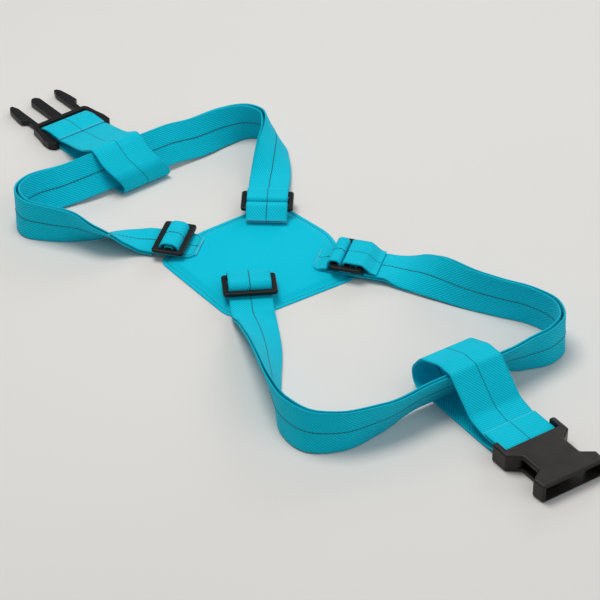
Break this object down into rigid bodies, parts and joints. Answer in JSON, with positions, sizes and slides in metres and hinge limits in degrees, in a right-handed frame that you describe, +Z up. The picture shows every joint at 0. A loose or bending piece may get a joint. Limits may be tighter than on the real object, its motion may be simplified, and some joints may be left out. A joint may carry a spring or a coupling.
{
  "type": "padded gait belt",
  "caption": "Padded harness belt: a flat back pad, a doubled webbing ring on each side held by slide adjusters, and a belt loop on each ring with one half of a side-release buckle.",
  "frame": {"origin": "middle of the back pad, on its underside, which lies on the table", "axes": "+Z up from the table, through the pad; +Y from the pad towards the back adjuster; +X to the pad's right, towards the side that carries the socket"},
  "size_m": [0.4981, 0.5857, 0.0406],
  "materials": {
    "webbing": "woven diagonal twill",
    "pad_fabric": "smooth closed weave, stitched border",
    "pad_foam": "matt foam",
    "buckle_plastic": "fine satin"
  },
  "bodies": {
    "pad_and_rings": {"back_pad_top_cover": "pad_fabric", "back_pad_foam": "pad_foam", "back_pad_underside_cover": "pad_fabric", "left_ring_inner_strap": "webbing", "left_ring_outer_strap": "webbing", "right_ring_inner_strap": "webbing", "right_ring_outer_strap": "webbing"},
    "left_adjuster": {"left_slide": "buckle_plastic", "left_slide_hump": "webbing", "left_slide_end_loop": "webbing"},
    "back_adjuster": {"back_slide": "buckle_plastic", "back_slide_hump": "webbing", "back_slide_end_loop": "webbing"},
    "front_adjuster": {"front_slide": "buckle_plastic", "front_slide_hump": "webbing", "front_slide_end_loop": "webbing"},
    "right_adjuster": {"right_slide": "buckle_plastic", "right_slide_hump": "webbing", "right_slide_end_loop": "webbing"},
    "left_belt": {"left_belt_loop": "webbing"},
    "plug": {"buckle_plug": "buckle_plastic"},
    "right_belt": {"right_belt_loop": "webbing"},
    "socket": {"buckle_socket": "buckle_plastic"},
    "plug_left_arm": {"buckle_plug_left_arm": "buckle_plastic"},
    "plug_right_arm": {"buckle_plug_right_arm": "buckle_plastic"}
  },
  "joints": [
    {"name": "left_adjuster_slide", "type": "slide", "parent": "pad_and_rings", "child": "left_adjuster", "axis": [-0.9703, 0.2419, 0], "range_m": [0, 0.006]},
    {"name": "back_adjuster_slide", "type": "slide", "parent": "pad_and_rings", "child": "back_adjuster", "axis": [0.0349, 0.9994, 0], "range_m": [0, 0.01]},
    {"name": "front_adjuster_slide", "type": "slide", "parent": "pad_and_rings", "child": "front_adjuster", "axis": [0.1045, -0.9945, 0], "range_m": [0, 0.007]},
    {"name": "right_adjuster_slide", "type": "slide", "parent": "pad_and_rings", "child": "right_adjuster", "axis": [0.9613, -0.2756, 0], "range_m": [0, 0.01]},
    {"name": "left_belt_slide", "type": "slide", "parent": "pad_and_rings", "child": "left_belt", "axis": [0.7986, 0.6018, 0], "range_m": [-0.01, 0.01]},
    {"name": "plug_swing", "type": "hinge", "parent": "left_belt", "child": "plug", "pos_m": [-0.17984, 0.22065, 0.0039], "axis": [0.7771, 0.6293, 0], "range_deg": [0, 60]},
    {"name": "right_belt_slide", "type": "slide", "parent": "pad_and_rings", "child": "right_belt", "axis": [0.829, 0.5592, 0], "range_m": [-0.01, 0.01]},
    {"name": "socket_swing", "type": "hinge", "parent": "right_belt", "child": "socket", "pos_m": [0.21018, -0.24599, 0.0081], "axis": [-0.829, -0.5592, 0], "range_deg": [0, 60]},
    {"name": "plug_left_arm_flex", "type": "hinge", "parent": "plug", "child": "plug_left_arm", "pos_m": [-0.20641, 0.21612, 0.0039], "axis": [0, 0, -1], "range_deg": [0, 12], "stiffness_Nm_per_rad": 2.6},
    {"name": "plug_right_arm_flex", "type": "hinge", "parent": "plug", "child": "plug_right_arm", "pos_m": [-0.16988, 0.2457, 0.0039], "axis": [0, 0, 1], "range_deg": [0, 12], "stiffness_Nm_per_rad": 2.6}
  ]
}
